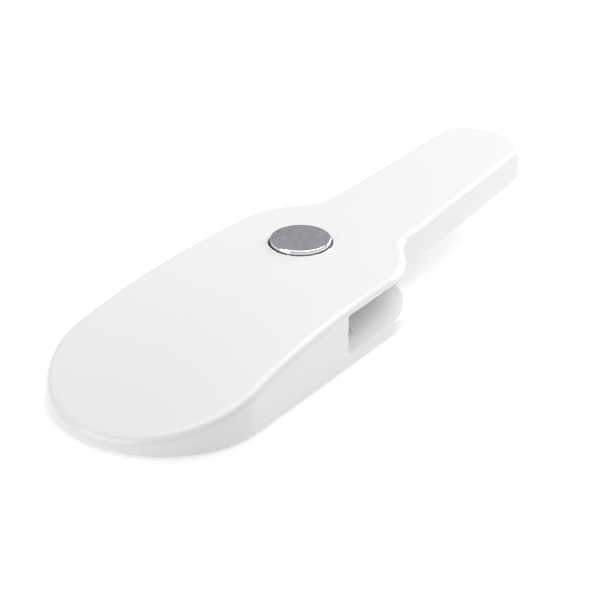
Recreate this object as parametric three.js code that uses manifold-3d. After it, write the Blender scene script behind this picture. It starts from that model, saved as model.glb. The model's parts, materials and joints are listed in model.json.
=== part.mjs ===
// A cordless hand-held apex locator: a flat paddle-shaped body with one push button set left of
// its middle, a straight handle that rises slightly, and a lower jaw that leaves a hanging slot
// open at the rear and on both sides.
// Millimetres, +Z up. X runs from the nose (-) to the handle end (+), and Y is the width.
import * as THREE from 'three';
import { mergeVertices } from 'three/addons/utils/BufferGeometryUtils.js';
import Module from 'manifold-3d';

const wasm = await Module();
wasm.setup();

// ---- Driving dimensions ----
const LENGTH = 181.1;
const HEIGHT = 17.3;
const NOSE_X = -LENGTH / 2;
const HANDLE_END_X = LENGTH / 2;
const NOSE_LENGTH = 28.5;
const NOSE_HEIGHT = 3.4;
const WIDEST_HALF_WIDTH = 29.9;
const WIDEST_X = NOSE_X + NOSE_LENGTH;
const REAR_RADIUS = 27.4;
const REAR_CENTRE_X = 2.45;
const RIGHT_REAR_CENTRE_X = -3.4;
const RIGHT_REAR_LENGTH = 27;
const SLOPE_END_X = -5.4;
const SLOPE_POWER = 2.45;
const GAP = 0.3;
const WALL = 2;
const ROOF = 1.8;

// Rear slot and lower jaw
const SLOT_X = -21.4;
const JAW_TOP = 3.8;
const JAW_CENTRE_X = -1.55;
const JAW_REAR_LENGTH = 25.2;
const JAW_REAR_X = JAW_CENTRE_X + JAW_REAR_LENGTH;
const RIM_BOTTOM = 15.1;

// Arm, which runs under the top plate and goes on as the rising handle
const ARM_BOTTOM = 8.25;
const ARM_ROOT_HALF_WIDTH = 18.6;
const ARM_END_HALF_WIDTH = 13.2;
const ARM_CORNER = 8;
const ARM_END_BULGE = 0.8;
const ARM_CEILING = 15.3;
const ARM_CAVITY_X = SLOT_X + 2;
const ARM_COVER_THICKNESS = 1.3;
const RISE_X = 37;
const RISE_SLOPE = 0.0585;

// Underside cover and battery door
const RIM_INSET = 1.4;
const COVER_INSET = RIM_INSET + GAP;
const COVER_TOP = 1.6;
const RECESS_TOP = COVER_TOP + GAP;
const DOOR_TOP = 1.5;
const DOOR_REAR_X = SLOT_X - 1;
const DOOR_HALF_WIDTH = 22.3;
const HINGE_X = -47.9;
const HINGE_Z = 1.3;
const HINGE_RADIUS = 1.3;
const BARREL_HALF_LENGTH = 17;
const PIN_RADIUS = 0.65;
const LUG_LENGTH = 3.5;

// Cells, lying across the body
const CELL_RADIUS = 5.25;
const CELL_LENGTH = 44.5;
const CELL_Z = 7.15;
const CELL_REAR_X = SLOT_X - 8.4;
const CELL_FRONT_X = CELL_REAR_X - 10.8;
const CONTACT_Y = 23.5;
const CONTACT_THICKNESS = 0.3;

// Button, switch and electronics
const BUTTON_X = REAR_CENTRE_X;
const BUTTON_Y = 5.2;
const CAP_RADIUS = 8.3;
const CAP_TOP = HEIGHT + 1.05;
const CAP_FLANGE_RADIUS = 9.3;
const GUIDE_RADIUS = 10.6;
const PCB_BOTTOM = 10.7;
const PCB_TOP = 11.7;
const PART_FLOOR = PCB_TOP + GAP;
const PCB_FRONT_X = -16.9;
const PCB_REAR_X = 38.6;
const PCB_HALF_WIDTH = 11.2;
const BUZZER_X = 60;
const BUZZER_RADIUS = 8;
const BUZZER_LOW = 11.9;
const BUZZER_HIGH = 15.6;

// Lead terminal pins at the outer corners of the slot's front wall
const TERMINAL_Y = 26.2;
const TERMINAL_Z = 8.8;
const TERMINAL_RADIUS = 0.65;
const TERMINAL_TIP_X = SLOT_X + 4.2;

// Screws: plan places, and heights counted from the face that their heads are sunk in
const BASE_SCREWS = [[-75.4, -12], [-75.4, 12], [-56.4, -22], [-56.4, 22]];
const ARM_SCREWS = [[46, 0], [80, 0]];
const BASE_SCREW = { head: 1.9, shank: 1.0, headLow: 0.15, headHigh: 1.0, tip: 5.4, boss: 3.2 };
const ARM_SCREW = { head: 1.7, shank: 0.8, headLow: 0.1, headHigh: 0.7, tip: 4.6, boss: 2.5 };

// ---- Solids ----
function solid(geometry) {
  const bare = geometry.clone();
  bare.deleteAttribute('normal');
  bare.deleteAttribute('uv');
  const merged = mergeVertices(bare, 1e-4);
  const vertProperties = new Float32Array(merged.attributes.position.array);
  const triVerts = new Uint32Array(merged.index.array);
  return new wasm.Manifold(new wasm.Mesh({ numProp: 3, vertProperties, triVerts }));
}

function geometryOf(body) {
  const mesh = body.getMesh();
  const geometry = new THREE.BufferGeometry();
  geometry.setAttribute('position', new THREE.BufferAttribute(mesh.vertProperties, 3));
  geometry.setIndex(new THREE.BufferAttribute(mesh.triVerts, 1));
  geometry.computeVertexNormals();
  return geometry;
}

function join(...bodies) {
  return bodies.reduce((sum, body) => sum.add(body));
}

function cut(body, ...tools) {
  return tools.reduce((rest, tool) => rest.subtract(tool), body);
}

function box(x0, x1, y0, y1, z0, z1) {
  const geometry = new THREE.BoxGeometry(x1 - x0, y1 - y0, z1 - z0);
  return solid(geometry.translate((x0 + x1) / 2, (y0 + y1) / 2, (z0 + z1) / 2));
}

function prism(shape, low, high, curveSegments = 14) {
  const options = { depth: high - low, bevelEnabled: false, curveSegments };
  return solid(new THREE.ExtrudeGeometry(shape, options).translate(0, 0, low));
}

function postZ(x, y, low, high, radius, sides = 24) {
  const geometry = new THREE.CylinderGeometry(radius, radius, high - low, sides);
  return solid(geometry.rotateX(Math.PI / 2).translate(x, y, (low + high) / 2));
}

function rodX(x0, x1, y, z, radius, sides = 20) {
  const geometry = new THREE.CylinderGeometry(radius, radius, x1 - x0, sides);
  return solid(geometry.rotateZ(Math.PI / 2).translate((x0 + x1) / 2, y, z));
}

function rodY(x, y0, y1, z, radius, sides = 20) {
  const geometry = new THREE.CylinderGeometry(radius, radius, y1 - y0, sides);
  return solid(geometry.translate(x, (y0 + y1) / 2, z));
}

// Turns a closed radius-height outline about the button's vertical axis.
function turned(points, sides = 40) {
  const profile = points.map(([radius, height]) => new THREE.Vector2(radius, height));
  const geometry = new THREE.LatheGeometry(profile, sides).rotateX(Math.PI / 2);
  return solid(geometry.translate(BUTTON_X, BUTTON_Y, 0));
}

function tubeAlong(curve, radius, steps, sides) {
  const section = new THREE.Shape();
  section.absarc(0, 0, radius, 0, Math.PI * 2);
  const curveSegments = sides / 2;
  const options = { steps, curveSegments, bevelEnabled: false, extrudePath: curve };
  return solid(new THREE.ExtrudeGeometry(section, options));
}

// ---- Outlines ----
function topHeight(x) {
  const run = Math.max(SLOPE_END_X - x, 0) / (SLOPE_END_X - NOSE_X);
  return HEIGHT - (HEIGHT - NOSE_HEIGHT) * run ** SLOPE_POWER;
}

// The body narrows a little from its widest place to the middle of its rear round.
function halfWidthAt(x) {
  const share = (x - WIDEST_X) / (REAR_CENTRE_X - WIDEST_X);
  return WIDEST_HALF_WIDTH + (REAR_RADIUS - WIDEST_HALF_WIDTH) * share;
}

// One side of the body in plan, from the middle of its rear round to the tip of the nose.
function sidePoints(side, inset, rearCentreX, rearLength) {
  const steps = 12;
  const rearHalf = halfWidthAt(rearCentreX) - inset;
  const noseHalf = WIDEST_HALF_WIDTH - inset;
  const rear = [];
  const nose = [];
  for (let step = 0; step <= steps; step += 1) {
    const angle = (step / steps) * Math.PI / 2;
    const rearX = rearCentreX + (rearLength - inset) * Math.cos(angle);
    const noseX = WIDEST_X - (NOSE_LENGTH - inset) * Math.sin(angle);
    rear.push(new THREE.Vector2(rearX, side * rearHalf * Math.sin(angle)));
    nose.push(new THREE.Vector2(noseX, side * noseHalf * Math.cos(angle)));
  }
  return [...rear, ...nose];
}

function jawPlan(inset) {
  const left = sidePoints(1, inset, JAW_CENTRE_X, JAW_REAR_LENGTH);
  const right = sidePoints(-1, inset, JAW_CENTRE_X, JAW_REAR_LENGTH);
  return new THREE.Shape([...left, ...right.reverse().slice(1, -1)]);
}

// The top plate's rear round is fuller on the button's side than on the right side.
function topPlan(inset) {
  const left = sidePoints(1, inset, REAR_CENTRE_X, REAR_RADIUS);
  const right = sidePoints(-1, inset, RIGHT_REAR_CENTRE_X, RIGHT_REAR_LENGTH);
  return new THREE.Shape([...left, ...right.reverse().slice(1, -1)]);
}

// Extrudes an outline drawn in X and Z across the whole width.
function acrossWidth(points) {
  const shape = new THREE.Shape(points.map(([x, z]) => new THREE.Vector2(x, z)));
  const depth = 4 * WIDEST_HALF_WIDTH;
  const geometry = new THREE.ExtrudeGeometry(shape, { depth, bevelEnabled: false });
  return solid(geometry.rotateX(Math.PI / 2).translate(0, depth / 2, 0));
}

function armRise(x) {
  return Math.max(x - RISE_X, 0) * RISE_SLOPE;
}

// Everything under the top surface, lowered by a drop.
function underTop(drop) {
  const steps = 18;
  const endTop = HEIGHT + armRise(HANDLE_END_X) - drop;
  const points = [[NOSE_X, -5], [HANDLE_END_X, -5], [HANDLE_END_X, endTop], [RISE_X, HEIGHT - drop]];
  for (let step = 0; step <= steps; step += 1) {
    const x = SLOPE_END_X + (NOSE_X - SLOPE_END_X) * step / steps;
    points.push([x, topHeight(x) - drop]);
  }
  return acrossWidth(points);
}

// The space between two heights that both follow the handle's rise.
function armBand(low, high) {
  const farX = HANDLE_END_X + 5;
  const rise = armRise(farX);
  return acrossWidth([
    [SLOT_X - 5, low], [RISE_X, low], [farX, low + rise],
    [farX, high + rise], [RISE_X, high], [SLOT_X - 5, high],
  ]);
}

function armHalfWidth(x) {
  const share = (x - SLOT_X) / (HANDLE_END_X - SLOT_X);
  return ARM_ROOT_HALF_WIDTH + (ARM_END_HALF_WIDTH - ARM_ROOT_HALF_WIDTH) * share;
}

function armPlan(frontX, inset) {
  const steps = 8;
  const endX = HANDLE_END_X - inset;
  const corner = ARM_CORNER - inset;
  const cornerX = endX - ARM_END_BULGE - corner;
  const cornerY = ARM_END_HALF_WIDTH - ARM_CORNER;
  const right = [new THREE.Vector2(frontX, inset - armHalfWidth(frontX))];
  for (let step = 0; step <= steps; step += 1) {
    const angle = (step / steps) * Math.PI / 2;
    const y = -cornerY - corner * Math.cos(angle);
    right.push(new THREE.Vector2(cornerX + corner * Math.sin(angle), y));
  }
  const crown = [-0.5, 0, 0.5].map((share) => {
    return new THREE.Vector2(endX - ARM_END_BULGE * share * share, share * cornerY);
  });
  const left = right.map(({ x, y }) => new THREE.Vector2(x, -y)).reverse();
  return new THREE.Shape([...right, ...crown, ...left]);
}

function armPiece(frontX, inset, low, high) {
  return prism(armPlan(frontX, inset), 0, 2 * HEIGHT).intersect(armBand(low, high));
}

// ---- Housing ----
function frontCavity() {
  const space = prism(topPlan(WALL), RECESS_TOP - 1, HEIGHT)
    .intersect(underTop(ROOF))
    .intersect(box(NOSE_X + 12, SLOT_X - WALL, -WIDEST_HALF_WIDTH, WIDEST_HALF_WIDTH, -1, HEIGHT));
  const bosses = BASE_SCREWS.map(([x, y]) => postZ(x, y, RECESS_TOP, HEIGHT, BASE_SCREW.boss));
  return cut(space, ...bosses);
}

function armCavity() {
  const space = armPiece(ARM_CAVITY_X, WALL, ARM_BOTTOM - 1, ARM_CEILING);
  const bosses = ARM_SCREWS.map(([x, y]) => {
    const low = ARM_BOTTOM + armRise(x) + ARM_COVER_THICKNESS + GAP;
    return postZ(x, y, low, 2 * HEIGHT, ARM_SCREW.boss);
  });
  const boardPosts = [[-13.4, 9.6], [-13.4, -9.6], [34, 9], [34, -9]].map(([x, y]) => {
    return postZ(x, y, PART_FLOOR, HEIGHT, 1.1, 12);
  });
  const guidePocket = postZ(BUTTON_X, BUTTON_Y, PART_FLOOR, ARM_CEILING, GUIDE_RADIUS + GAP, 40);
  return join(cut(space, ...bosses, ...boardPosts), guidePocket);
}

function baseScrewBores() {
  const radius = BASE_SCREW.shank + GAP;
  return BASE_SCREWS.map(([x, y]) => postZ(x, y, RECESS_TOP - 1, BASE_SCREW.tip + GAP, radius, 16));
}

function armScrewBores() {
  return ARM_SCREWS.map(([x, y]) => {
    const base = ARM_BOTTOM + armRise(x);
    return postZ(x, y, base + 1, base + ARM_SCREW.tip + GAP, ARM_SCREW.shank + GAP, 16);
  });
}

function terminalOpenings(side) {
  const y = side * TERMINAL_Y;
  const hole = rodX(SLOT_X - WALL - 1, SLOT_X + 1, y, TERMINAL_Z, TERMINAL_RADIUS + GAP);
  const pocket = box(SLOT_X - 5, SLOT_X - WALL + 0.1, y - 1.2, y + 1.2, 7.2, 13.4);
  return [hole, pocket];
}

function outerShell() {
  const front = prism(topPlan(0), 0, HEIGHT).intersect(box(NOSE_X, SLOT_X, -40, 40, 0, HEIGHT));
  const topPlate = prism(topPlan(0), RIM_BOTTOM, HEIGHT);
  const jaw = prism(jawPlan(0), 0, JAW_TOP);
  const arm = armPiece(SLOT_X - 1, 0, ARM_BOTTOM, HEIGHT + 1);
  return join(front, topPlate, jaw, arm).intersect(underTop(0));
}

function mainHousing() {
  const coverRecess = prism(jawPlan(RIM_INSET), -1, RECESS_TOP);
  const tongueGroove = box(18, JAW_REAR_X - 0.65, -4, 4, 0.6, RECESS_TOP);
  const wireTunnel = box(SLOT_X - WALL - 1, ARM_CAVITY_X + 1, -6, 6, 11.5, 14.5);
  const holeRadius = CAP_RADIUS + GAP;
  const buttonHole = postZ(BUTTON_X, BUTTON_Y, ARM_CEILING - 1, HEIGHT + 1, holeRadius, 48);
  return cut(
    outerShell(),
    frontCavity(),
    armCavity(),
    coverRecess,
    tongueGroove,
    wireTunnel,
    buttonHole,
    ...terminalOpenings(1),
    ...terminalOpenings(-1),
    ...baseScrewBores(),
    ...armScrewBores(),
  );
}

// ---- Covers and door ----
// The countersink and clearance hole of one screw, in a cover whose outer face is at face.
function screwSeat(x, y, face, sizes) {
  return [
    postZ(x, y, face - 2, face + sizes.headHigh + GAP, sizes.head + GAP),
    postZ(x, y, face + sizes.headHigh, face + 3, sizes.shank + GAP, 16),
  ];
}

function hingeLug(side) {
  const inner = BARREL_HALF_LENGTH + GAP;
  const [y0, y1] = side > 0 ? [inner, inner + LUG_LENGTH] : [-inner - LUG_LENGTH, -inner];
  const ear = rodY(HINGE_X, y0, y1, HINGE_Z, HINGE_RADIUS);
  const web = box(HINGE_X - 3, HINGE_X, y0, y1, 0, 2 * HINGE_Z);
  return join(ear, web);
}

function baseCover() {
  const openingHalf = DOOR_HALF_WIDTH + GAP;
  const frontEdge = HINGE_X - HINGE_RADIUS - GAP;
  const opening = box(frontEdge, DOOR_REAR_X + GAP, -openingHalf, openingHalf, -1, 3);
  const tongue = box(18, JAW_REAR_X - 0.95, -3.7, 3.7, 0.9, COVER_TOP);
  const plate = cut(join(prism(jawPlan(COVER_INSET), 0, COVER_TOP), tongue), opening);
  const pinHole = rodY(HINGE_X, -21.5, 21.5, HINGE_Z, PIN_RADIUS + GAP, 12);
  const withLugs = cut(join(plate, hingeLug(1), hingeLug(-1)), pinHole);
  return cut(withLugs, ...BASE_SCREWS.flatMap(([x, y]) => screwSeat(x, y, 0, BASE_SCREW)));
}

function batteryDoor() {
  const middle = box(HINGE_X, DOOR_REAR_X, -BARREL_HALF_LENGTH, BARREL_HALF_LENGTH, 0, DOOR_TOP);
  const sideFrontX = HINGE_X + HINGE_RADIUS + GAP;
  const sides = box(sideFrontX, DOOR_REAR_X, -DOOR_HALF_WIDTH, DOOR_HALF_WIDTH, 0, DOOR_TOP);
  const barrel = rodY(HINGE_X, -BARREL_HALF_LENGTH, BARREL_HALF_LENGTH, HINGE_Z, HINGE_RADIUS);
  const pinEnd = BARREL_HALF_LENGTH + LUG_LENGTH - 0.5;
  const pins = rodY(HINGE_X, -pinEnd, pinEnd, HINGE_Z, PIN_RADIUS, 12);
  const grooves = [0, 1, 2].map((row) => {
    const x = DOOR_REAR_X - 3 - row * 1.6;
    return box(x, x + 0.8, -6, 6, -1, 0.5);
  });
  return cut(join(middle, sides, barrel, pins), ...grooves);
}

function armCover() {
  const inset = WALL + GAP;
  const plate = armPiece(ARM_CAVITY_X + GAP, inset, ARM_BOTTOM, ARM_BOTTOM + ARM_COVER_THICKNESS);
  const soundHoles = [-2, -1, 0, 1, 2].map((step) => {
    return postZ(BUZZER_X + step * 2.4, 0, ARM_BOTTOM, ARM_BOTTOM + 5, 0.7, 12);
  });
  const seats = ARM_SCREWS.flatMap(([x, y]) => {
    return screwSeat(x, y, ARM_BOTTOM + armRise(x), ARM_SCREW);
  });
  return cut(plate, ...soundHoles, ...seats);
}

function screw(x, y, face, sizes) {
  const low = face + sizes.headLow;
  const high = face + sizes.headHigh;
  const head = postZ(x, y, low, high, sizes.head);
  const shank = postZ(x, y, high - 0.1, face + sizes.tip, sizes.shank, 16);
  const reach = sizes.head * 0.6;
  const crossA = box(x - reach, x + reach, y - 0.25, y + 0.25, low - 1, low + 0.35);
  const crossB = box(x - 0.25, x + 0.25, y - reach, y + reach, low - 1, low + 0.35);
  return cut(join(head, shank), crossA, crossB);
}

// ---- Power ----
function cell(x, nubSide) {
  const nubLength = 1;
  const nubEnd = CONTACT_Y - GAP;
  const shoulder = nubEnd - nubLength;
  const canEnd = nubEnd - CELL_LENGTH;
  const low = Math.min(nubSide * shoulder, nubSide * canEnd);
  const high = Math.max(nubSide * shoulder, nubSide * canEnd);
  const can = rodY(x, low, high, CELL_Z, CELL_RADIUS, 32);
  const nubLow = Math.min(nubSide * (shoulder - 1), nubSide * nubEnd);
  const nub = rodY(x, nubLow, nubLow + nubLength + 1, CELL_Z, 1.9, 20);
  return join(can, nub);
}

function batteryCarrier() {
  const frontX = HINGE_X + 0.5;
  const outer = box(frontX, SLOT_X - WALL - 1.3, -24.7, 24.7, 3.2, 10);
  const inner = box(frontX + 1, SLOT_X, -24.1, 24.1, 3, 11);
  return cut(outer, inner);
}

function contactPlate(x0, x1, side, tabX) {
  const y0 = side > 0 ? CONTACT_Y : -CONTACT_Y - CONTACT_THICKNESS;
  const y1 = y0 + CONTACT_THICKNESS;
  const plate = box(x0, x1, y0, y1, 4, 10.5);
  if (tabX === null) return plate;
  return join(plate, box(tabX - 1.2, tabX + 1.2, y0, y1, 10, 11.5));
}

class SpringCurve extends THREE.Curve {
  constructor(start, axis, length, radii, turns) {
    super();
    Object.assign(this, { start, axis, length, radii, turns });
  }

  getPoint(t, target = new THREE.Vector3()) {
    const angle = t * this.turns * 2 * Math.PI;
    const radius = this.radii[0] + (this.radii[1] - this.radii[0]) * t;
    const across = radius * Math.cos(angle);
    const around = radius * Math.sin(angle);
    const along = this.length * t;
    if (this.axis === 'z') target.set(across, around, along);
    else target.set(across, along, around);
    return target.add(this.start);
  }
}

function contactSpring(x, side) {
  const wire = 0.25;
  const start = new THREE.Vector3(x, side * (CONTACT_Y - GAP - wire), CELL_Z);
  return tubeAlong(new SpringCurve(start, 'y', -side * 1.1, [3.4, 2.2], 2), wire, 28, 6);
}

// An insulated wire, with the X of its route counted from the slot's front wall.
function wire(route) {
  const points = route.map(([x, y, z]) => new THREE.Vector3(SLOT_X + x, y, z));
  return tubeAlong(new THREE.CatmullRomCurve3(points), 0.45, 20, 6);
}

// ---- Button and switch ----
function buttonCap() {
  const round = 0.9;
  const flangeTop = ARM_CEILING - GAP;
  const flangeLow = flangeTop - 0.8;
  const edge = [4, 3, 2, 1, 0].map((step) => {
    const angle = Math.PI / 2 - step * Math.PI / 8;
    return [CAP_RADIUS - round + round * Math.cos(angle), CAP_TOP - round + round * Math.sin(angle)];
  });
  return turned([
    [0, HEIGHT], [7.3, HEIGHT], [7.3, flangeLow], [CAP_FLANGE_RADIUS, flangeLow],
    [CAP_FLANGE_RADIUS, flangeTop], [CAP_RADIUS, flangeTop], ...edge, [0, CAP_TOP],
  ], 48);
}

function buttonStem() {
  const top = HEIGHT - GAP;
  const low = top - 1.8;
  return turned([[0, low], [1.5, low], [1.5, top - 0.7], [3, top - 0.7], [3, top], [0, top]], 24);
}

function returnSpring() {
  const wireRadius = 0.3;
  const start = new THREE.Vector3(BUTTON_X, BUTTON_Y, PART_FLOOR + wireRadius);
  const length = HEIGHT - GAP - PART_FLOOR - 2 * wireRadius;
  return tubeAlong(new SpringCurve(start, 'z', length, [5.2, 5.2], 4), wireRadius, 52, 6);
}

function buttonGuide() {
  const low = PART_FLOOR + GAP;
  const ring = postZ(BUTTON_X, BUTTON_Y, low, ARM_CEILING - GAP, GUIDE_RADIUS, 40);
  return cut(ring, postZ(BUTTON_X, BUTTON_Y, low - 1, HEIGHT, CAP_FLANGE_RADIUS + GAP, 40));
}

function switchBody() {
  const half = 3;
  const x = BUTTON_X;
  const y = BUTTON_Y;
  const can = box(x - half, x + half, y - half, y + half, PART_FLOOR, PART_FLOOR + 1.7);
  return cut(can, postZ(x, y, PART_FLOOR + GAP, HEIGHT, 2));
}

function switchPlunger() {
  const top = HEIGHT - 2.1 - GAP;
  return postZ(BUTTON_X, BUTTON_Y, top - 1.5, top, 1.7);
}

// ---- Electronics ----
function circuitBoard() {
  return box(PCB_FRONT_X, PCB_REAR_X, -PCB_HALF_WIDTH, PCB_HALF_WIDTH, PCB_BOTTOM, PCB_TOP);
}

function onBoard(x, y, length, width, height) {
  const top = PART_FLOOR + height;
  return box(x - length / 2, x + length / 2, y - width / 2, y + width / 2, PART_FLOOR, top);
}

function buzzer() {
  const can = postZ(BUZZER_X, 0, BUZZER_LOW, BUZZER_HIGH, BUZZER_RADIUS, 36);
  return cut(can, postZ(BUZZER_X, 0, BUZZER_LOW - 1, BUZZER_LOW + 1, 1.2, 16));
}

function terminalPin(side) {
  const y = side * TERMINAL_Y;
  const tipStart = TERMINAL_TIP_X - TERMINAL_RADIUS;
  const shaft = rodX(SLOT_X - WALL - 1.5, tipStart, y, TERMINAL_Z, TERMINAL_RADIUS, 16);
  const tip = new THREE.SphereGeometry(TERMINAL_RADIUS, 16, 10).translate(tipStart, y, TERMINAL_Z);
  const collar = rodX(SLOT_X + GAP, SLOT_X + GAP + 0.6, y, TERMINAL_Z, 1.2, 20);
  return join(shaft, solid(tip), collar);
}

// ---- Materials ----
const finish = (color, roughness, metalness) => {
  return new THREE.MeshStandardMaterial({ color, roughness, metalness });
};
const whitePlastic = finish(0xf3f3f4, 0.25, 0);
const innerPlastic = finish(0xd9dadb, 0.5, 0);
const chrome = finish(0xb9bcc2, 0.12, 1);
const steel = finish(0x9a9da3, 0.35, 1);
const board = finish(0x1f6b3a, 0.5, 0);
const darkPlastic = finish(0x26272b, 0.5, 0);
const brass = finish(0xc9a24a, 0.3, 1);
const cellWrap = finish(0x4a5560, 0.4, 0);
const redWire = finish(0xa83232, 0.5, 0);
const greyWire = finish(0x6f7277, 0.5, 0);

// ---- Assembly ----
const group = new THREE.Group();

function place(name, body, material) {
  const mesh = new THREE.Mesh(geometryOf(body), material);
  mesh.name = name;
  group.add(mesh);
}

place('main_housing', mainHousing(), whitePlastic);
place('base_cover', baseCover(), whitePlastic);
place('battery_door', batteryDoor(), whitePlastic);
place('arm_cover', armCover(), whitePlastic);
BASE_SCREWS.forEach(([x, y], index) => {
  place(`base_screw_${index + 1}`, screw(x, y, 0, BASE_SCREW), steel);
});
ARM_SCREWS.forEach(([x, y], index) => {
  place(`arm_screw_${index + 1}`, screw(x, y, ARM_BOTTOM + armRise(x), ARM_SCREW), steel);
});

place('button_cap', buttonCap(), chrome);
place('button_stem', buttonStem(), darkPlastic);
place('button_guide', buttonGuide(), innerPlastic);
place('return_spring', returnSpring(), steel);
place('switch_plunger', switchPlunger(), darkPlastic);
place('switch_body', switchBody(), darkPlastic);

place('battery_carrier', batteryCarrier(), innerPlastic);
place('battery_cell_front', cell(CELL_FRONT_X, 1), cellWrap);
place('battery_cell_rear', cell(CELL_REAR_X, -1), cellWrap);
place('contact_bridge', contactPlate(CELL_FRONT_X - 3.8, CELL_REAR_X + 3.8, 1, null), steel);
place('contact_negative', contactPlate(CELL_FRONT_X - 3.8, CELL_FRONT_X + 3.8, -1, CELL_FRONT_X), steel);
place('contact_positive', contactPlate(CELL_REAR_X - 3.8, CELL_REAR_X + 3.8, -1, CELL_REAR_X), steel);
place('contact_spring_front', contactSpring(CELL_FRONT_X, -1), steel);
place('contact_spring_rear', contactSpring(CELL_REAR_X, 1), steel);

place('circuit_board', circuitBoard(), board);
place('wire_header', onBoard(-14.5, 0, 3, 10, 1.9), darkPlastic);
place('microcontroller', onBoard(18, -3, 7, 7, 1.1), darkPlastic);
place('measuring_chip', onBoard(29, -2, 6, 4.4, 1.4), darkPlastic);
place('crystal', onBoard(26, 5, 4.6, 2, 1.2), steel);
[[-9, -7], [0, -8.5], [20, 8]].forEach(([x, y], index) => {
  place(`capacitor_${index + 1}`, postZ(x, y, PART_FLOOR, 14.2, 1.6, 16), darkPlastic);
});
place('buzzer', buzzer(), darkPlastic);
place('terminal_pin_right', terminalPin(-1), brass);
place('terminal_pin_left', terminalPin(1), brass);

place('battery_wire_negative', wire([
  [-19.2, -23.4, 12.2], [-15, -23.5, 12.5], [-8, -23.4, 12.9], [-5.3, -21.5, 13],
  [-5.3, -4, 13], [-4, 0.4, 13.1], [-1, 1.2, 13], [4.9, 1.2, 12.9],
]), greyWire);
place('battery_wire_positive', wire([
  [-7.6, -22.9, 11.4], [-5, -22.4, 11.9], [-3.4, -19.5, 12.2], [-3.2, -12, 12.2],
  [-3.2, -4, 12.2], [-1.5, -1.6, 12.4], [2, -1.2, 12.5], [4.9, -1.2, 12.7],
]), redWire);
[['right', -1], ['left', 1]].forEach(([name, side]) => {
  const route = [
    [-4.2, 26, 9.6], [-4.1, 25.6, 12.2], [-3.6, 23.8, 13.6], [-3.6, 14, 13.6],
    [-3.4, 7, 13.6], [-2.4, 4, 13.6], [1, 3.6, 13.4], [4.9, 3.6, 12.9],
  ];
  place(`terminal_wire_${name}`, wire(route.map(([x, y, z]) => [x, side * y, z])), greyWire);
});
place('buzzer_wire', wire([
  [73.6, 4.5, 13.4], [70.4, 4.6, 13.6], [66.4, 4.6, 13.3], [61.4, 4.4, 12.8], [56.9, 4.2, 12.6],
]), greyWire);

export default group;
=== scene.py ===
"""Looks for the cordless apex locator: a white moulded shell, a chrome button and the parts inside.

The shell is worked out as a signed distance in millimetres, so that every edge can be rounded,
and then meshed. Meshes and everything that Blender sees are in metres.
"""

import json
import math

import bmesh
import bpy
import numpy as np
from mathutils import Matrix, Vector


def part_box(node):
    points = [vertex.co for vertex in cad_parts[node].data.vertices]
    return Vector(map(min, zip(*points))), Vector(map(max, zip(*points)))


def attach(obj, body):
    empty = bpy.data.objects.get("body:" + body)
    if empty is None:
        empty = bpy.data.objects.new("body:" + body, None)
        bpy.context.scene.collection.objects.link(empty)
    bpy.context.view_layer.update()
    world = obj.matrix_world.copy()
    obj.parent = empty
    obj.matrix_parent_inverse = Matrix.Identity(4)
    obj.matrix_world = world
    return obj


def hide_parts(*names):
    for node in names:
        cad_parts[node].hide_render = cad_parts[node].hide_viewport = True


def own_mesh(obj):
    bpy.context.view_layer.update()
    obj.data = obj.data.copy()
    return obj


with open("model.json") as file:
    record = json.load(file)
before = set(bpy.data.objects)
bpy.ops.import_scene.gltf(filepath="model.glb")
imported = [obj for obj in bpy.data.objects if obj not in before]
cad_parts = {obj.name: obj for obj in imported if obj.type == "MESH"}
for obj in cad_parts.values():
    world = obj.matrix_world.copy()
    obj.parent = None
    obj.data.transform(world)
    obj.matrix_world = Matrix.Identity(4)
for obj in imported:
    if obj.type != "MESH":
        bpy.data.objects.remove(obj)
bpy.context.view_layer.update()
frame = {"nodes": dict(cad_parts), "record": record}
MM = 0.001


def box_mm(node):
    """The lowest and highest corner of a CAD node, in millimetres."""
    low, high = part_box(node)
    return np.array(low) / MM, np.array(high) / MM


# ---- Sizes read from the frame ----
HOUSING_LOW, HOUSING_HIGH = box_mm("main_housing")
CAP_LOW, CAP_HIGH = box_mm("button_cap")
NOSE_X = HOUSING_LOW[0]
HANDLE_END_X = HOUSING_HIGH[0]
WIDEST_HALF_WIDTH = HOUSING_HIGH[1]
BUTTON_X, BUTTON_Y = (CAP_LOW[:2] + CAP_HIGH[:2]) / 2
CAP_TOP = CAP_HIGH[2]
ARM_BOTTOM = box_mm("arm_cover")[0][2]

# ---- Sizes that repeat the CAD model's, in millimetres ----
CAP_STAND = 1.05
HEIGHT = CAP_TOP - CAP_STAND
WALL = 2
ROOF = 1.8
NOSE_LENGTH = 28.5
NOSE_HEIGHT = 3.4
WIDEST_X = NOSE_X + NOSE_LENGTH
REAR_RADIUS = 27.4
REAR_CENTRE_X = BUTTON_X
RIGHT_REAR_CENTRE_X = -3.4
RIGHT_REAR_LENGTH = 27
SLOPE_END_X = -5.4
SLOPE_POWER = 2.45
SLOT_X = -21.4
RIM_BOTTOM = 15.1
JAW_TOP = 3.8
JAW_CENTRE_X = -1.55
JAW_REAR_LENGTH = 25.2
ARM_ROOT_HALF_WIDTH = 18.6
ARM_END_HALF_WIDTH = 13.2
ARM_CORNER = 8
ARM_END_BULGE = 0.8
ARM_CEILING = 15.3
RISE_X = 37
RISE_SLOPE = 0.0585
RIM_INSET = 1.4
RECESS_TOP = 1.9
PART_FLOOR = 12
GAP = 0.3
BASE_BOSS_RADIUS = 3.2
ARM_BOSS_RADIUS = 2.5
BOARD_POST_RADIUS = 1.1
BASE_BORE_RADIUS = 1.3
ARM_BORE_RADIUS = 1.1
PIN_HOLE_RADIUS = 0.95
CAP_RADIUS = 8.3
CAP_SKIRT_RADIUS = 7.3
CAP_FLANGE_RADIUS = 9.3
POCKET_RADIUS = 10.9
TERMINAL_Y = 26.2
TERMINAL_Z = 8.8
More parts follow.
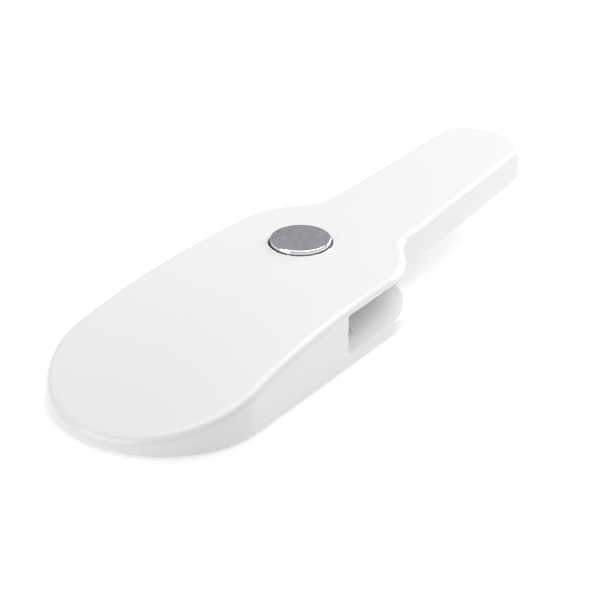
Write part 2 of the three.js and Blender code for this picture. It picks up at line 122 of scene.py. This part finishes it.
BASE_SCREWS = [(-75.4, -12), (-75.4, 12), (-56.4, -22), (-56.4, 22)]
ARM_SCREWS = [(46, 0), (80, 0)]
BOARD_POSTS = [(-13.4, 9.6), (-13.4, -9.6), (34, 9), (34, -9)]

# Hollows. OVERCUT is how far one reaches past the face that it opens through.
OVERCUT = 1
FRONT_HOLLOW_X = NOSE_X + 12
BURIED_X = SLOT_X - 3
SLOT_WALL_REACH = 3
ARM_BOSS_LIFT = 1.6
TUNNEL_HALF_WIDTH = 6
TUNNEL_HEIGHTS = (11.5, 14.5)
BASE_BORE_TOP = 5.7
ARM_BORE_LIFTS = (1, 4.9)
GROOVE_FRONT_X = 18
GROOVE_HALF_WIDTH = 4
GROOVE_LOW = 0.6

# ---- Sizes that aren't the CAD model's, in millimetres ----
# The CAD model's groove ends at 23.0. This one breaks out through the rear face of the jaw.
GROOVE_REAR_X = 23.6
# The pockets behind the terminals reach 0.1 further forward than the CAD model's.
PIN_POCKET_X = SLOT_X - 3.5
PIN_POCKET_Z = 10.3
PIN_POCKET_HALF_SIZES = (1.6, 1.2, 3.1)
# The button's hole is wider and its rim crisper. A dark ring in the gap between them is painted
# shadow, standing for the shade in that gap.
HOLE_RADIUS = 8.72
SHADOW_RING_RADII = (8.34, 8.68)
SHADOW_RING_HEIGHTS = (16.2, 17.3)
SHADOW_RING_BEVEL = 0.08
CAP_EDGE_ROUND = 0.4
CAP_SKIRT_BEVEL = 0.3
COVER_BEVEL = 0.25

# ---- Rounding of the moulded edges ----
TOP_ROUND = 1.9
BASE_ROUND = 1.0
JAW_ROUND = 0.9
ARM_ROUND = 0.7
CRISP_ROUND = 0.5
HOLE_ROUND = 0.25
CORNER_BLEND = 3.5
RISE_BLEND = 16

# ---- Fineness ----
MESH_STEP = 0.6
PLAN_STEP = 0.3
PLAN_MARGIN = 4
SLOPE_REACH = 0.02
# Three small values that keep a division from failing
LEAST_SLOPE_SQUARED = 0.25
LEAST_SIDE_SQUARED = 1e-12
LEAST_NORMAL = 1e-9
TURNED_SIDES = 96
ROUND_STEPS = 32
CORNER_STEPS = 12
CROWN_STEPS = 13
WELD_REACH = 0.001


# ---- Outlines in plan ----
def arc(centre, radii, start, end, steps):
    """Points on an ellipse between two angles in degrees."""
    angles = np.radians(np.linspace(start, end, steps))
    return [
        (centre[0] + radii[0] * math.cos(a), centre[1] + radii[1] * math.sin(a))
        for a in angles
    ]


def half_width_at(x):
    """Half the body's width, which narrows evenly behind its widest place."""
    share = (x - WIDEST_X) / (REAR_CENTRE_X - WIDEST_X)
    return WIDEST_HALF_WIDTH + (REAR_RADIUS - WIDEST_HALF_WIDTH) * share


def body_outline(left_rear, right_rear):
    """The body in plan. Each rear round is given by its centre and its length."""
    left_radii = (left_rear[1], half_width_at(left_rear[0]))
    left = arc((left_rear[0], 0), left_radii, 0, 90, ROUND_STEPS)
    right_radii = (right_rear[1], half_width_at(right_rear[0]))
    right = arc((right_rear[0], 0), right_radii, -90, 0, ROUND_STEPS)
    nose = arc((WIDEST_X, 0), (NOSE_LENGTH, WIDEST_HALF_WIDTH), 90, 270, 2 * ROUND_STEPS)
    return left + nose + right


def arm_outline():
    """The arm and handle in plan: a taper with rounded corners and a slightly bulging end."""
    corner_x = HANDLE_END_X - ARM_END_BULGE - ARM_CORNER
    corner_y = ARM_END_HALF_WIDTH - ARM_CORNER
    corner = arc((corner_x, -corner_y), (ARM_CORNER, ARM_CORNER), -90, 0, CORNER_STEPS)
    right = [(BURIED_X, -ARM_ROOT_HALF_WIDTH)] + corner
    crown = [
        (HANDLE_END_X - ARM_END_BULGE * share**2, share * corner_y)
        for share in np.linspace(-1, 1, CROWN_STEPS)[1:-1]
    ]
    left = [(x, -y) for x, y in reversed(right)]
    return right + crown + left


class PlanDistance:
    """Signed distance in plan to a closed outline, looked up in a fine table."""

    def __init__(self, outline):
        self.low = np.array([NOSE_X, -WIDEST_HALF_WIDTH]) - PLAN_MARGIN
        high = np.array([HANDLE_END_X, WIDEST_HALF_WIDTH]) + PLAN_MARGIN
        counts = np.ceil((high - self.low) / PLAN_STEP).astype(int) + 1
        x = self.low[0] + PLAN_STEP * np.arange(counts[0])[:, None]
        y = self.low[1] + PLAN_STEP * np.arange(counts[1])[None, :]
        nearest = np.full(counts, np.inf)
        inside = np.zeros(counts, bool)
        for (ax, ay), (bx, by) in zip(outline, outline[1:] + outline[:1]):
            dx, dy = bx - ax, by - ay
            along = ((x - ax) * dx + (y - ay) * dy) / (dx * dx + dy * dy + LEAST_SIDE_SQUARED)
            along = np.clip(along, 0, 1)
            gap = (x - ax - along * dx) ** 2 + (y - ay - along * dy) ** 2
            nearest = np.minimum(nearest, gap)
            if ay != by:
                spans = (ay > y) != (by > y)
                inside ^= spans & (x < ax + (y - ay) / dy * dx)
        self.table = np.sqrt(nearest) * np.where(inside, -1, 1)

    def __call__(self, x, y):
        u = (x - self.low[0]) / PLAN_STEP
        v = (y - self.low[1]) / PLAN_STEP
        i = np.clip(u.astype(int), 0, self.table.shape[0] - 2)
        j = np.clip(v.astype(int), 0, self.table.shape[1] - 2)
        s, t = u - i, v - j
        near = self.table[i, j] * (1 - t) + self.table[i, j + 1] * t
        far = self.table[i + 1, j] * (1 - t) + self.table[i + 1, j + 1] * t
        return near * (1 - s) + far * s


FULL_REAR = (REAR_CENTRE_X, REAR_RADIUS)
SHORT_REAR = (RIGHT_REAR_CENTRE_X, RIGHT_REAR_LENGTH)
JAW_REAR = (JAW_CENTRE_X, JAW_REAR_LENGTH)
PLATE = PlanDistance(body_outline(FULL_REAR, SHORT_REAR))
JAW = PlanDistance(body_outline(JAW_REAR, JAW_REAR))
ARM = PlanDistance(arm_outline())


# ---- Signed distances ----
def rounded_both(a, b, radius):
    """What is inside both a and b, with the edge between them rounded."""
    outside = np.hypot(np.maximum(a + radius, 0), np.maximum(b + radius, 0))
    return np.minimum(np.maximum(a, b), -radius) + outside


def blended_either(a, b, width):
    """What is inside a or b, with the corner between them filled."""
    share = np.clip(0.5 + 0.5 * (b - a) / width, 0, 1)
    return b + (a - b) * share - width * share * (1 - share)


def both(*parts):
    """What is inside every part, with sharp edges."""
    return np.maximum.reduce(parts)


def either(*parts):
    """What is inside any part, with sharp corners."""
    return np.minimum.reduce(parts)


def post(x, y, centre, radius):
    """An upright round bar without ends."""
    return np.hypot(x - centre[0], y - centre[1]) - radius


def rise(x):
    """How far the handle has risen, with the start of the rise eased in."""
    ahead = x - RISE_X + RISE_BLEND / 2
    eased = np.clip(ahead, 0, RISE_BLEND) ** 2 / (2 * RISE_BLEND)
    return RISE_SLOPE * (eased + np.maximum(ahead - RISE_BLEND, 0))


def above_top(x, z):
    """How far a point lies above the top face, which falls away towards the nose."""
    run = np.maximum(SLOPE_END_X - x, 0) / (SLOPE_END_X - NOSE_X)
    fall = HEIGHT - NOSE_HEIGHT
    slope = fall * SLOPE_POWER * run ** (SLOPE_POWER - 1) / (SLOPE_END_X - NOSE_X)
    top = HEIGHT - fall * run**SLOPE_POWER + rise(x)
    return (z - top) / np.hypot(1, slope)


def outer_shell(x, y, z):
    """The moulding from outside, as if it were solid."""
    plate, jaw, arm = PLATE(x, y), JAW(x, y), ARM(x, y)
    plan = blended_either(plate, arm, CORNER_BLEND)
    under_top = rounded_both(plan, above_top(x, z), TOP_ROUND)
    slab = rounded_both(plan, RIM_BOTTOM - z, CRISP_ROUND)
    arm_part = rounded_both(arm, ARM_BOTTOM + rise(x) - z, ARM_ROUND)
    front = rounded_both(plate, -z, BASE_ROUND)
    front = rounded_both(front, x - SLOT_X, CRISP_ROUND)
    jaw_part = rounded_both(jaw, -z, BASE_ROUND)
    jaw_part = rounded_both(jaw_part, z - JAW_TOP, JAW_ROUND)
    jaw_part = both(jaw_part, BURIED_X - x)
    return either(both(under_top, either(slab, arm_part, front)), jaw_part)


def front_hollow(x, y, z):
    """The battery compartment, around the bosses of the base cover's screws."""
    space = both(
        PLATE(x, y) + WALL,
        above_top(x, z) + ROOF,
        RECESS_TOP - OVERCUT - z,
        x - SLOT_X + WALL,
        FRONT_HOLLOW_X - x,
    )
    bosses = either(*[post(x, y, place, BASE_BOSS_RADIUS) for place in BASE_SCREWS])
    return both(space, -both(bosses, RECESS_TOP - z))


def arm_hollow(x, y, z):
    """The space for the electronics, around its bosses and posts, and the button's pocket."""
    lift = rise(x)
    space = both(
        ARM(x, y) + WALL,
        ARM_BOTTOM - OVERCUT + lift - z,
        z - ARM_CEILING - lift,
        SLOT_X + WALL - x,
    )
    bosses = either(*[post(x, y, place, ARM_BOSS_RADIUS) for place in ARM_SCREWS])
    posts = either(*[post(x, y, place, BOARD_POST_RADIUS) for place in BOARD_POSTS])
    bosses = both(bosses, ARM_BOTTOM + lift + ARM_BOSS_LIFT - z)
    posts = both(posts, PART_FLOOR - z)
    pocket = both(
        post(x, y, (BUTTON_X, BUTTON_Y), POCKET_RADIUS), PART_FLOOR - z, z - ARM_CEILING
    )
    return either(both(space, -either(bosses, posts)), pocket)


def small_hollows(x, y, z):
    """The wire tunnel, the cover's groove, the terminals' holes and the screws' bores."""
    through_slot_wall = abs(x - SLOT_X) - SLOT_WALL_REACH
    tunnel_low, tunnel_high = TUNNEL_HEIGHTS
    tunnel = both(through_slot_wall, abs(y) - TUNNEL_HALF_WIDTH, tunnel_low - z, z - tunnel_high)
    groove = both(
        GROOVE_FRONT_X - x,
        x - GROOVE_REAR_X,
        abs(y) - GROOVE_HALF_WIDTH,
        GROOVE_LOW - z,
        z - RECESS_TOP,
    )
    pin_hole = np.hypot(abs(y) - TERMINAL_Y, z - TERMINAL_Z) - PIN_HOLE_RADIUS
    pin_hole = both(pin_hole, through_slot_wall)
    half_length, half_width, half_height = PIN_POCKET_HALF_SIZES
    pin_pocket = both(
        abs(x - PIN_POCKET_X) - half_length,
        abs(abs(y) - TERMINAL_Y) - half_width,
        abs(z - PIN_POCKET_Z) - half_height,
    )
    base_bores = either(*[post(x, y, place, BASE_BORE_RADIUS) for place in BASE_SCREWS])
    arm_bores = either(*[post(x, y, place, ARM_BORE_RADIUS) for place in ARM_SCREWS])
    base_bores = both(base_bores, RECESS_TOP - OVERCUT - z, z - BASE_BORE_TOP)
    above_arm = z - ARM_BOTTOM - rise(x)
    bore_low, bore_high = ARM_BORE_LIFTS
    arm_bores = both(arm_bores, bore_low - above_arm, above_arm - bore_high)
    return either(tunnel, groove, pin_hole, pin_pocket, base_bores, arm_bores)


def shell(x, y, z):
    """The finished moulding: the outside with its button hole, less every hollow."""
    recess = both(JAW(x, y) + RIM_INSET, z - RECESS_TOP)
    button_hole = post(x, y, (BUTTON_X, BUTTON_Y), HOLE_RADIUS)
    button_hole = both(button_hole, ARM_CEILING - OVERCUT - z)
    solid = rounded_both(outer_shell(x, y, z), -button_hole, HOLE_ROUND)
    hollow = either(recess, front_hollow(x, y, z), arm_hollow(x, y, z), small_hollows(x, y, z))
    return both(solid, -hollow)


# ---- Meshing ----
def gradient(distance, points):
    """The direction in which a signed distance grows fastest, at each point."""
    result = np.empty_like(points)
    for axis in range(3):
        offset = np.zeros(3)
        offset[axis] = SLOPE_REACH
        ahead = distance(*(points + offset).T)
        behind = distance(*(points - offset).T)
        result[:, axis] = (ahead - behind) / (2 * SLOPE_REACH)
    return result


def pull_to_surface(distance, points, rounds):
    """Moves points along the gradient until the distance there is nothing."""
    for _ in range(rounds):
        slope = gradient(distance, points)
        size = np.maximum((slope**2).sum(1), LEAST_SLOPE_SQUARED)
        move = (distance(*points.T) / size)[:, None] * slope
        points = points - np.clip(move, -MESH_STEP, MESH_STEP)
    return points


def relax(points, quads):
    """Moves each point halfway to the middle of its neighbours."""
    total = np.zeros_like(points)
    count = np.zeros(len(points))
    for corner in range(4):
        here, ahead = quads[:, corner], quads[:, (corner + 1) % 4]
        for axis in range(3):
            total[:, axis] += np.bincount(here, points[ahead, axis], len(points))
            total[:, axis] += np.bincount(ahead, points[here, axis], len(points))
        count += np.bincount(here, minlength=len(points))
        count += np.bincount(ahead, minlength=len(points))
    return (points + total / count[:, None]) / 2


def surface_net(distance, low, high):
    """A quad mesh with one point in each grid cell that the surface passes through."""
    counts = np.ceil((high - low) / MESH_STEP).astype(int) + 1
    grid = [low[a] + MESH_STEP * np.arange(counts[a]) for a in range(3)]
    value = distance(*np.meshgrid(*grid, indexing="ij"))
    cells = counts - 1
    total = np.zeros((*cells, 3))
    crossings = np.zeros(cells)
    edges = []
    for axis in range(3):
        near = np.moveaxis(value, axis, 0)[:-1]
        far = np.moveaxis(value, axis, 0)[1:]
        crossed = (near < 0) != (far < 0)
        share = np.where(crossed, near / np.where(crossed, near - far, 1), 0)
        crossed = np.moveaxis(crossed, 0, axis)
        share = np.moveaxis(share, 0, axis)
        starts_inside = np.moveaxis(near < 0, 0, axis)
        others = [a for a in range(3) if a != axis]
        for first in (0, 1):
            for second in (0, 1):
                part = [slice(None)] * 3
                part[others[0]] = slice(first, first + cells[others[0]])
                part[others[1]] = slice(second, second + cells[others[1]])
                part = tuple(part)
                crossings += crossed[part]
                total[..., axis] += share[part]
                total[..., others[0]] += first * crossed[part]
                total[..., others[1]] += second * crossed[part]
        edges.append((axis, others, crossed, starts_inside))
    active = crossings > 0
    number = np.full(cells, -1)
    number[active] = np.arange(active.sum())
    corner = np.argwhere(active)
    points = low + MESH_STEP * (corner + total[active] / crossings[active][:, None])
    quads = []
    for axis, others, crossed, starts_inside in edges:
        at = np.argwhere(crossed)
        flip = starts_inside[tuple(at.T)] != (axis == 1)
        ring = []
        for first, second in ((0, 0), (1, 0), (1, 1), (0, 1)):
            cell = at.copy()
            cell[:, others[0]] -= first
            cell[:, others[1]] -= second
            ring.append(number[tuple(cell.T)])
        ring = np.stack(ring, 1)
        ring[~flip] = ring[~flip][:, ::-1]
        quads.append(ring)
    return points, np.concatenate(quads)


def new_object(name, points, faces):
    """A smooth-shaded mesh object from points in millimetres."""
    mesh = bpy.data.meshes.new(name)
    mesh.from_pydata((np.asarray(points) * MM).tolist(), [], [tuple(face) for face in faces])
    mesh.polygons.foreach_set("use_smooth", [True] * len(mesh.polygons))
    mesh.update()
    made = bpy.data.objects.new(name, mesh)
    bpy.context.scene.collection.objects.link(made)
    return made


def make_shell():
    """The white moulding, meshed from its signed distance, with normals taken from it too."""
    margin = 1.3 * MESH_STEP
    points, quads = surface_net(shell, HOUSING_LOW - margin, HOUSING_HIGH + margin)
    points = pull_to_surface(shell, points, 2)
    for _ in range(2):
        points = pull_to_surface(shell, relax(points, quads), 2)
    made = new_object("shell", points, quads)
    normals = gradient(shell, points)
    normals /= np.linalg.norm(normals, axis=1, keepdims=True) + LEAST_NORMAL
    made.data.normals_split_custom_set_from_vertices(normals.tolist())
    return made


def turned(name, profile, capped):
    """Turns an outline of radius and height about the button's axis.

    A capped outline ends in two flat discs, and one that isn't capped closes on itself.
    """
    angles = np.arange(TURNED_SIDES) * 2 * math.pi / TURNED_SIDES
    points = [
        (BUTTON_X + radius * math.cos(a), BUTTON_Y + radius * math.sin(a), height)
        for radius, height in profile
        for a in angles
    ]
    rings = [
        [ring * TURNED_SIDES + side for side in range(TURNED_SIDES)]
        for ring in range(len(profile))
    ]
    pairs = list(zip(rings, rings[1:]))
    faces = []
    if capped:
        faces += [rings[0][::-1], rings[-1]]
    else:
        pairs.append((rings[-1], rings[0]))
    for low, high in pairs:
        for side in range(TURNED_SIDES):
            after = (side + 1) % TURNED_SIDES
            faces.append((low[side], low[after], high[after], high[side]))
    return new_object(name, points, faces)


def make_cap():
    """The button's cap: a disc with a rounded rim, a hollow underside and a flange."""
    rim = CAP_EDGE_ROUND
    flange_top = ARM_CEILING - GAP
    flange_low = CAP_LOW[2]
    edge = [
        (CAP_RADIUS - rim + rim * math.cos(a), CAP_TOP - rim + rim * math.sin(a))
        for a in np.linspace(0, math.pi / 2, 10)
    ]
    profile = [
        (CAP_SKIRT_RADIUS - CAP_SKIRT_BEVEL, HEIGHT), (CAP_SKIRT_RADIUS, HEIGHT - CAP_SKIRT_BEVEL),
        (CAP_SKIRT_RADIUS, flange_low), (CAP_FLANGE_RADIUS, flange_low),
        (CAP_FLANGE_RADIUS, flange_top), (CAP_RADIUS, flange_top), *edge,
        (CAP_RADIUS - 2 * rim, CAP_TOP),
    ]
    return turned("chrome_cap", profile, capped=True)


def make_shadow_ring():
    """A dark ring in the gap between the button and its hole: painted shadow, standing for the
    shade in that gap.
    """
    (inner, outer), (low, high) = SHADOW_RING_RADII, SHADOW_RING_HEIGHTS
    profile = [
        (inner, low), (outer, low), (outer, high - SHADOW_RING_BEVEL), (outer - SHADOW_RING_BEVEL, high),
        (inner + SHADOW_RING_BEVEL, high), (inner, high - SHADOW_RING_BEVEL),
    ]
    return turned("button_gap_shadow_ring", profile, capped=False)


def copied(node):
    """A copy of a CAD node as one closed mesh, with its repeated corners joined."""
    work = bmesh.new()
    work.from_mesh(frame["nodes"][node].data)
    bmesh.ops.remove_doubles(work, verts=work.verts, dist=WELD_REACH * MM)
    work.verts.index_update()
    points = [np.array(vertex.co) / MM for vertex in work.verts]
    faces = [[vertex.index for vertex in face.verts] for face in work.faces]
    work.free()
    return new_object(f"{node}_soft", points, faces)


def softened(node, width):
    """A copy of a CAD node with its sharp edges broken by a small bevel."""
    made = copied(node)
    made.data.polygons.foreach_set("use_smooth", [False] * len(made.data.polygons))
    flat = made.modifiers.new("flat", "DECIMATE")
    flat.decimate_type = "DISSOLVE"
    flat.angle_limit = math.radians(1)
    bevel = made.modifiers.new("bevel", "BEVEL")
    bevel.width = width * MM
    bevel.segments = 2
    bevel.limit_method = "ANGLE"
    bevel.angle_limit = math.radians(35)
    return made


# ---- Materials ----
NOISE_SPAN = (0.3, 0.7)
COAT_ROUGHNESS = 0.08


def new_material(name):
    """An empty material, with its nodes, its links and its surface shader."""
    material = bpy.data.materials.new(name)
    material.use_nodes = True
    nodes = material.node_tree.nodes
    shader = nodes["Principled BSDF"]
    return material, nodes, material.node_tree.links, shader


def noise(nodes, links, scale, detail):
    """A noise pattern fixed to the object, with its scale in features to the metre."""
    place = nodes.new("ShaderNodeTexCoord")
    pattern = nodes.new("ShaderNodeTexNoise")
    pattern.inputs["Scale"].default_value = scale
    pattern.inputs["Detail"].default_value = detail
    links.new(place.outputs["Object"], pattern.inputs["Vector"])
    return pattern.outputs["Fac"]


def between(nodes, links, share, low, high):
    """A number that runs from low to high over the noise's usual span."""
    span = nodes.new("ShaderNodeMapRange")
    span.inputs["From Min"].default_value = NOISE_SPAN[0]
    span.inputs["From Max"].default_value = NOISE_SPAN[1]
    span.inputs["To Min"].default_value = low
    span.inputs["To Max"].default_value = high
    links.new(share, span.inputs["Value"])
    return span.outputs["Result"]


def colour_between(nodes, links, share, low, high):
    """A colour that runs from low to high over the noise's usual span."""
    ramp = nodes.new("ShaderNodeValToRGB")
    ramp.color_ramp.elements[0].position = NOISE_SPAN[0]
    ramp.color_ramp.elements[0].color = (*low, 1)
    ramp.color_ramp.elements[1].position = NOISE_SPAN[1]
    ramp.color_ramp.elements[1].color = (*high, 1)
    links.new(share, ramp.inputs["Fac"])
    return ramp.outputs["Color"]


def bump(nodes, links, shader, height, strength, distance_mm):
    """Roughens the shading by a pattern of the given depth."""
    lift = nodes.new("ShaderNodeBump")
    lift.inputs["Strength"].default_value = strength
    lift.inputs["Distance"].default_value = distance_mm * MM
    links.new(height, lift.inputs["Height"])
    links.new(lift.outputs["Normal"], shader.inputs["Normal"])


def finish_material(name, colours, roughness, metallic=0.0, coat=0.0,
                    cloud=(60.0, 3.0), grain=(900.0, 3.0, 0.1, 0.02)):
    """A material whose colour and roughness vary a little, over a fine surface grain.

    cloud is the colour's scale and detail. grain is the bump's scale, detail, strength and depth.
    """
    material, nodes, links, shader = new_material(name)
    scale, detail, strength, depth_mm = grain
    clouds = noise(nodes, links, *cloud)
    fine = noise(nodes, links, scale, detail)
    links.new(colour_between(nodes, links, clouds, *colours), shader.inputs["Base Color"])
    links.new(between(nodes, links, fine, *roughness), shader.inputs["Roughness"])
    bump(nodes, links, shader, fine, strength, depth_mm)
    shader.inputs["Metallic"].default_value = metallic
    shader.inputs["Coat Weight"].default_value = coat
    shader.inputs["Coat Roughness"].default_value = COAT_ROUGHNESS
    return material


MATERIALS = {
    "white_plastic": finish_material(
        "white_gloss", ((0.852, 0.852, 0.853), (0.864, 0.864, 0.862)), (0.24, 0.27), coat=0.3,
        cloud=(22.0, 0.0), grain=(2600.0, 0.0, 0.02, 0.002)),
    "inner_plastic": finish_material(
        "inner_moulding", ((0.6, 0.61, 0.62), (0.66, 0.67, 0.68)), (0.5, 0.65)),
    "dark_plastic": finish_material(
        "dark_moulding", ((0.025, 0.025, 0.028), (0.045, 0.045, 0.05)), (0.4, 0.6)),
    "steel": finish_material(
        "spring_steel", ((0.5, 0.51, 0.53), (0.6, 0.61, 0.62)), (0.22, 0.36), metallic=1.0),
    "brass_plate": finish_material(
        "plated_brass", ((0.34, 0.32, 0.28), (0.42, 0.39, 0.34)), (0.24, 0.36), metallic=1.0),
    "board": finish_material(
        "green_board", ((0.03, 0.17, 0.07), (0.05, 0.25, 0.1)), (0.3, 0.42), coat=0.3),
    "cell_wrap": finish_material(
        "cell_wrap", ((0.15, 0.18, 0.22), (0.2, 0.24, 0.29)), (0.25, 0.35), coat=0.4),
    "red_wire": finish_material(
        "red_insulation", ((0.4, 0.03, 0.03), (0.5, 0.05, 0.05)), (0.45, 0.6)),
    "grey_wire": finish_material(
        "grey_insulation", ((0.15, 0.16, 0.17), (0.2, 0.21, 0.22)), (0.45, 0.6)),
    "chrome_plate": finish_material(
        "chrome_face", ((0.74, 0.74, 0.76), (0.84, 0.84, 0.86)), (0.16, 0.26), metallic=1.0),
}
# The rim's lower roughness is its own smoother finish; its lighter colour is a painted highlight.
RIM_CHROME_PAINTED_HIGHLIGHT = finish_material(
    "chrome_rim_painted_highlight", ((0.86, 0.86, 0.88), (0.92, 0.92, 0.93)), (0.05, 0.1), metallic=1.0)


# ---- Pieces ----
def add_piece(piece, body, slot, *nodes):
    """Gives a piece its body, finish and material, and hides the CAD nodes that it stands for."""
    piece.data.materials.append(MATERIALS[slot])
    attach(piece, body)
    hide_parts(*nodes)


def add_cap():
    """The cap, whose rim is smoother than its face and has a lighter colour as a painted highlight.
    """
    cap = make_cap()
    add_piece(cap, "button", "chrome_plate", "button_cap")
    cap.data.materials.append(RIM_CHROME_PAINTED_HIGHLIGHT)
    for face in cap.data.polygons:
        radius = math.hypot(face.center.x / MM - BUTTON_X, face.center.y / MM - BUTTON_Y)
        if radius > CAP_RADIUS - CAP_EDGE_ROUND:
            face.material_index = 1


def add_spring():
    """The return spring, copied from the CAD model and fixed to the housing, with a mesh of its
    own.
    """
    spring = copied("return_spring")
    add_piece(spring, "housing", "steel", "return_spring")
    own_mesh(spring)


def finish_cad_nodes():
    """Gives each CAD node that still shows the material of its slot."""
    for part in frame["record"]["subparts"]:
        node = frame["nodes"][part["node"]]
        if not node.hide_render:
            node.data.materials.clear()
            node.data.materials.append(MATERIALS[part["material_slot"]])


add_piece(make_shell(), "housing", "white_plastic", "main_housing")
add_cap()
# Painted shadow: a dark ring set into the gap around the button, in place of the shade there.
add_piece(make_shadow_ring(), "housing", "dark_plastic")
COVER_BODIES = {"base_cover": "housing", "battery_door": "battery_door", "arm_cover": "housing"}
for cover, cover_body in COVER_BODIES.items():
    add_piece(softened(cover, COVER_BEVEL), cover_body, "white_plastic", cover)
add_spring()
finish_cad_nodes()


# ---- Floor, light and camera, in metres ----
FLOOR_HALF_SIZE = 3.0
FLOOR_HEIGHT = -0.00005
WORLD_COLOUR = (0.96, 0.97, 1, 1)
WORLD_STRENGTH = 0.33
# Each lamp's place, the point that it faces, its size and its power in watts
LAMPS = {
    "overhead": ((0.3, 0.0, 1.0), (0, 0, 0), (1.2, 1.2), 9.6),
    "rear_fill": ((0.58, -0.07, 0.19), (0.02, 0, 0.01), (0.4, 0.24), 2.2),
    "left_fill": ((-0.5, 0.2, 0.2), (-0.05, 0, 0.01), (0.4, 0.3), 0.75),
}
CAMERA_PLACE = (-0.46105, -0.343, 0.3048)
CAMERA_AZIMUTH = -53.07
CAMERA_ELEVATION = 27.78


def make_floor():
    """A pale floor just under the object, which glows a little so that shadows stay faint."""
    half = FLOOR_HALF_SIZE
    plan = [(-half, -half), (half, -half), (half, half), (-half, half)]
    corners = [(x, y, FLOOR_HEIGHT) for x, y in plan]
    mesh = bpy.data.meshes.new("floor")
    mesh.from_pydata(corners, [], [(0, 1, 2, 3)])
    floor = bpy.data.objects.new("floor", mesh)
    bpy.context.scene.collection.objects.link(floor)
    material, _, _, shader = new_material("pale_floor")
    shader.inputs["Base Color"].default_value = (0.6, 0.6, 0.6, 1)
    shader.inputs["Roughness"].default_value = 0.9
    shader.inputs["Emission Color"].default_value = (1, 1, 1, 1)
    shader.inputs["Emission Strength"].default_value = 0.45
    mesh.materials.append(material)


def soft_light(name, place, target, size, power):
    """A rectangular lamp turned to face its target."""
    light = bpy.data.lights.new(name, "AREA")
    light.shape = "RECTANGLE"
    light.size, light.size_y = size
    light.energy = power
    lamp = bpy.data.objects.new(name, light)
    lamp.location = place
    direction = np.array(place) - np.array(target)
    flat = math.hypot(direction[0], direction[1])
    turn = math.atan2(direction[1], direction[0]) + math.pi / 2
    lamp.rotation_euler = (math.atan2(flat, direction[2]), 0, turn)
    bpy.context.scene.collection.objects.link(lamp)


def make_world():
    world = bpy.data.worlds.new("studio")
    world.use_nodes = True
    background = world.node_tree.nodes["Background"]
    background.inputs["Color"].default_value = WORLD_COLOUR
    background.inputs["Strength"].default_value = WORLD_STRENGTH
    bpy.context.scene.world = world
    bpy.context.scene.view_settings.view_transform = "Standard"


def make_camera():
    lens = bpy.data.cameras.new("camera")
    lens.sensor_width = 36
    lens.lens = 144
    lens.clip_start = 0.05
    camera = bpy.data.objects.new("camera", lens)
    camera.location = CAMERA_PLACE
    tilt = math.radians(90 - CAMERA_ELEVATION)
    camera.rotation_euler = (tilt, 0, math.radians(CAMERA_AZIMUTH))
    bpy.context.scene.collection.objects.link(camera)
    bpy.context.scene.camera = camera


make_floor()
for lamp_name, lamp_settings in LAMPS.items():
    soft_light(lamp_name, *lamp_settings)
make_world()
make_camera()
